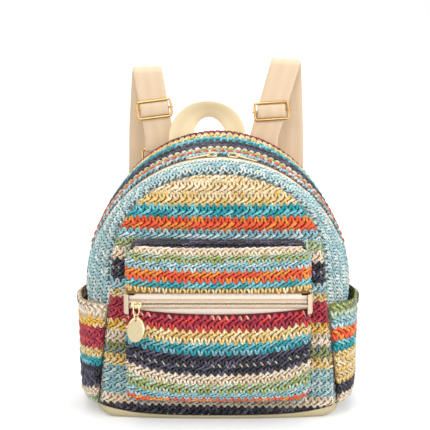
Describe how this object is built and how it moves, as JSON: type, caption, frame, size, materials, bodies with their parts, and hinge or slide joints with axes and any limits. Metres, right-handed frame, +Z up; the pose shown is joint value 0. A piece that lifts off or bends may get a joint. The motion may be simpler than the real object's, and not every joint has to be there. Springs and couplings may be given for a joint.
{
  "type": "small backpack",
  "caption": "Small arched backpack of striped crocheted straw, with a zipped front pocket, open side pockets, a carry loop and adjustable webbing straps.",
  "frame": {"origin": "centre of the bounding box at the level the bag stands on", "axes": "+Z up, the front pocket faces -Y, the straps are on the +Y side, +X is the viewer's right when the front is seen"},
  "size_m": [0.279, 0.2075, 0.3379],
  "materials": {
    "straw_cream": "striped crocheted straw, cream and tan ground",
    "straw_blue": "striped crocheted straw, light blue ground",
    "straw_navy": "striped crocheted straw, navy ground",
    "straw_teal": "striped crocheted straw, teal ground",
    "webbing": "satin ribbed webbing, beige",
    "zip_tape": "smooth zipper tape, cream",
    "coil": "tan zipper coil",
    "pale_gold": "polished pale gold plating",
    "base_cloth": "plain beige cloth"
  },
  "bodies": {
    "bag": {"front_panel": "straw_cream", "back_panel": "straw_cream", "front_gusset": "straw_blue", "rear_gusset": "straw_teal", "base_panel": "base_cloth", "side_pocket_left": "straw_navy", "side_pocket_right": "straw_navy", "main_tape_front": "zip_tape", "main_tape_rear": "zip_tape", "main_coil_front": "coil", "main_coil_rear": "coil", "pocket_gusset": "straw_navy", "pocket_upper_panel": "straw_blue", "pocket_lower_panel": "straw_blue", "pocket_tape_upper": "zip_tape", "pocket_tape_lower": "zip_tape", "pocket_coil_upper": "coil", "pocket_coil_lower": "coil", "pocket_tab_left": "base_cloth", "pocket_tab_right": "base_cloth", "strap_top_tab_left": "webbing", "strap_top_tab_right": "webbing", "strap_ring_left": "pale_gold", "strap_ring_right": "pale_gold", "strap_left": "webbing", "strap_right": "webbing", "strap_lower_tab_left": "webbing", "strap_lower_tab_right": "webbing", "strap_return_left": "webbing", "strap_return_right": "webbing", "handle": "webbing"},
    "slider_left": {"main_slider_left": "pale_gold"},
    "slider_right": {"main_slider_right": "pale_gold"},
    "puller_left": {"main_pull_left": "pale_gold"},
    "puller_right": {"main_pull_right": "pale_gold"},
    "zip_slider": {"pocket_slider": "pale_gold"},
    "link": {"pull_link": "pale_gold"},
    "ring": {"pull_ring": "pale_gold"},
    "disc": {"pull_disc": "pale_gold"},
    "adjuster_left": {"adjuster_frame_left": "pale_gold", "adjuster_bar_left": "pale_gold"},
    "adjuster_right": {"adjuster_frame_right": "pale_gold", "adjuster_bar_right": "pale_gold"}
  },
  "joints": [
    {"name": "main_slider_left_travel", "type": "hinge", "parent": "bag", "child": "slider_left", "pos_m": [0, -0.0062, 0.122], "axis": [0, -1, 0], "range_deg": [-2.2, 78]},
    {"name": "main_slider_right_travel", "type": "hinge", "parent": "bag", "child": "slider_right", "pos_m": [0, -0.0062, 0.122], "axis": [0, 1, 0], "range_deg": [-2.2, 75]},
    {"name": "main_pull_left_lift", "type": "hinge", "parent": "slider_left", "child": "puller_left", "pos_m": [-0.00834, -0.0062, 0.25281], "axis": [-0.2417, 0.9703, -0.011], "range_deg": [0, 100]},
    {"name": "main_pull_right_lift", "type": "hinge", "parent": "slider_right", "child": "puller_right", "pos_m": [0.01699, -0.0062, 0.25197], "axis": [-0.2404, -0.9703, 0.027], "range_deg": [0, 100]},
    {"name": "pocket_zip_slide", "type": "slide", "parent": "bag", "child": "zip_slider", "axis": [1, 0, 0], "range_m": [0, 0.15]},
    {"name": "link_swing", "type": "hinge", "parent": "zip_slider", "child": "link", "pos_m": [-0.077, -0.08535, 0.121], "axis": [-1, 0, 0], "range_deg": [0, 110]},
    {"name": "ring_swing", "type": "hinge", "parent": "link", "child": "ring", "pos_m": [-0.077, -0.08884, 0.11235], "axis": [-0.766, 0.596, -0.2408], "range_deg": [0, 30]},
    {"name": "disc_swing", "type": "hinge", "parent": "ring", "child": "disc", "pos_m": [-0.077, -0.09017, 0.10906], "axis": [-0.6691, -0.689, 0.2784], "range_deg": [0, 30]},
    {"name": "adjuster_left_slide", "type": "slide", "parent": "bag", "child": "adjuster_left", "axis": [-0.1696, 0, 0.9855], "range_m": [-0.019, 0.022], "deforming": ["strap_return_left"]},
    {"name": "adjuster_right_slide", "type": "slide", "parent": "bag", "child": "adjuster_right", "axis": [0.2703, 0, 0.9628], "range_m": [-0.0175, 0.028], "deforming": ["strap_return_right"]}
  ]
}
